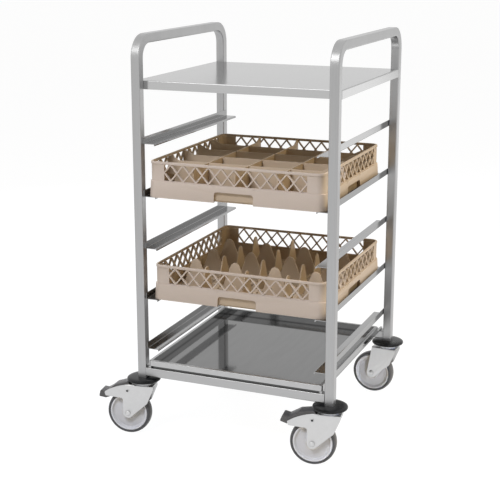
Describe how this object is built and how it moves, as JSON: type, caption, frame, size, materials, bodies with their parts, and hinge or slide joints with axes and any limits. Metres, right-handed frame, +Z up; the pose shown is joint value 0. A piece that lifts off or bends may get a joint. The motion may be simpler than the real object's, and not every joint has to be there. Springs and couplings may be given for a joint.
{
  "type": "dishwasher rack trolley",
  "caption": "Tall square-tube steel trolley on swivel casters: angle runners hold square lattice-sided dishwasher racks between a flat top shelf and a polished drip tray.",
  "frame": {"origin": "on the floor, under the middle of the four posts", "axes": "+Z up from the floor, +X towards the right-hand arch, +Y from the front, where racks slide in, to the rear"},
  "size_m": [0.7209, 0.644, 1.11],
  "materials": {
    "brushed_tube": "satin-ground stainless square tube",
    "steel_sheet": "smooth stainless sheet with a soft sheen",
    "polished_steel": "mirror-bright stainless sheet",
    "zinc_plate": "bright zinc plating",
    "black_plastic": "glossy black plastic",
    "seal_plastic": "dark grey plastic ring",
    "wheel_plastic": "light grey moulded plastic",
    "grey_tyre": "grey non-marking rubber",
    "pedal_plastic": "dark grey plastic pedal",
    "brake_rubber": "black rubber block",
    "rack_plastic": "beige polypropylene"
  },
  "bodies": {
    "frame": {"bottom_tray": "polished_steel", "caster_stems": "zinc_plate", "front_bottom_rail": "brushed_tube", "front_left_bumper": "black_plastic", "front_right_bumper": "black_plastic", "left_runner_1": "steel_sheet", "left_runner_2": "steel_sheet", "left_runner_3": "steel_sheet", "left_runner_4": "steel_sheet", "left_runner_5": "steel_sheet", "left_side_arch": "brushed_tube", "rear_bottom_rail": "brushed_tube", "rear_left_bumper": "black_plastic", "rear_right_bumper": "black_plastic", "right_runner_1": "steel_sheet", "right_runner_2": "steel_sheet", "right_runner_3": "steel_sheet", "right_runner_4": "steel_sheet", "right_runner_5": "steel_sheet", "right_side_arch": "brushed_tube", "top_shelf": "steel_sheet", "tray_bearers": "steel_sheet"},
    "front_left_caster": {"front_left_swivel_seal": "seal_plastic", "front_left_fork": "zinc_plate", "front_left_axle": "zinc_plate", "front_left_brake_pin": "zinc_plate"},
    "front_left_wheel": {"front_left_wheel_bush": "zinc_plate", "front_left_wheel_core": "wheel_plastic", "front_left_tyre": "grey_tyre"},
    "front_left_brake": {"front_left_brake_pedal": "pedal_plastic", "front_left_brake_shoe": "brake_rubber"},
    "front_right_caster": {"front_right_swivel_seal": "seal_plastic", "front_right_fork": "zinc_plate", "front_right_axle": "zinc_plate", "front_right_brake_pin": "zinc_plate"},
    "front_right_wheel": {"front_right_wheel_bush": "zinc_plate", "front_right_wheel_core": "wheel_plastic", "front_right_tyre": "grey_tyre"},
    "front_right_brake": {"front_right_brake_pedal": "pedal_plastic", "front_right_brake_shoe": "brake_rubber"},
    "rear_left_caster": {"rear_left_swivel_seal": "seal_plastic", "rear_left_fork": "zinc_plate", "rear_left_axle": "zinc_plate"},
    "rear_left_wheel": {"rear_left_wheel_bush": "zinc_plate", "rear_left_wheel_core": "wheel_plastic", "rear_left_tyre": "grey_tyre"},
    "rear_right_caster": {"rear_right_swivel_seal": "seal_plastic", "rear_right_fork": "zinc_plate", "rear_right_axle": "zinc_plate"},
    "rear_right_wheel": {"rear_right_wheel_bush": "zinc_plate", "rear_right_wheel_core": "wheel_plastic", "rear_right_tyre": "grey_tyre"},
    "upper_rack": {"upper_rack_cross_dividers": "rack_plastic", "upper_rack_floor": "rack_plastic", "upper_rack_long_dividers": "rack_plastic", "upper_rack_walls": "rack_plastic"},
    "lower_rack": {"lower_rack_fins": "rack_plastic", "lower_rack_floor": "rack_plastic", "lower_rack_walls": "rack_plastic"}
  },
  "joints": [
    {"name": "front_left_swivel", "type": "hinge", "parent": "frame", "child": "front_left_caster", "pos_m": [-0.2725, -0.275, 0.15], "axis": [0, 0, 1], "continuous": true},
    {"name": "front_left_roll", "type": "hinge", "parent": "front_left_caster", "child": "front_left_wheel", "pos_m": [-0.31508, -0.28098, 0.0625], "axis": [-0.1392, 0.9903, 0], "continuous": true},
    {"name": "front_left_brake_press", "type": "hinge", "parent": "front_left_caster", "child": "front_left_brake", "pos_m": [-0.31508, -0.28098, 0.129], "axis": [0.1392, -0.9903, 0], "range_deg": [-9, 0]},
    {"name": "front_right_swivel", "type": "hinge", "parent": "frame", "child": "front_right_caster", "pos_m": [0.2725, -0.275, 0.15], "axis": [0, 0, 1], "continuous": true},
    {"name": "front_right_roll", "type": "hinge", "parent": "front_right_caster", "child": "front_right_wheel", "pos_m": [0.22992, -0.28098, 0.0625], "axis": [-0.1392, 0.9903, 0], "continuous": true},
    {"name": "front_right_brake_press", "type": "hinge", "parent": "front_right_caster", "child": "front_right_brake", "pos_m": [0.22992, -0.28098, 0.129], "axis": [0.1392, -0.9903, 0], "range_deg": [0, 9]},
    {"name": "rear_left_swivel", "type": "hinge", "parent": "frame", "child": "rear_left_caster", "pos_m": [-0.2725, 0.275, 0.15], "axis": [0, 0, 1], "continuous": true},
    {"name": "rear_left_roll", "type": "hinge", "parent": "rear_left_caster", "child": "rear_left_wheel", "pos_m": [-0.31534, 0.27875, 0.0625], "axis": [0.0872, 0.9962, 0], "continuous": true},
    {"name": "rear_right_swivel", "type": "hinge", "parent": "frame", "child": "rear_right_caster", "pos_m": [0.2725, 0.275, 0.15], "axis": [0, 0, 1], "continuous": true},
    {"name": "rear_right_roll", "type": "hinge", "parent": "rear_right_caster", "child": "rear_right_wheel", "pos_m": [0.22966, 0.27875, 0.0625], "axis": [0.0872, 0.9962, 0], "continuous": true},
    {"name": "upper_rack_slide", "type": "slide", "parent": "frame", "child": "upper_rack", "axis": [0, 1, 0], "range_m": [-0.24, 0.29]},
    {"name": "lower_rack_slide", "type": "slide", "parent": "frame", "child": "lower_rack", "axis": [0, 1, 0], "range_m": [-0.24, 0.29]}
  ]
}
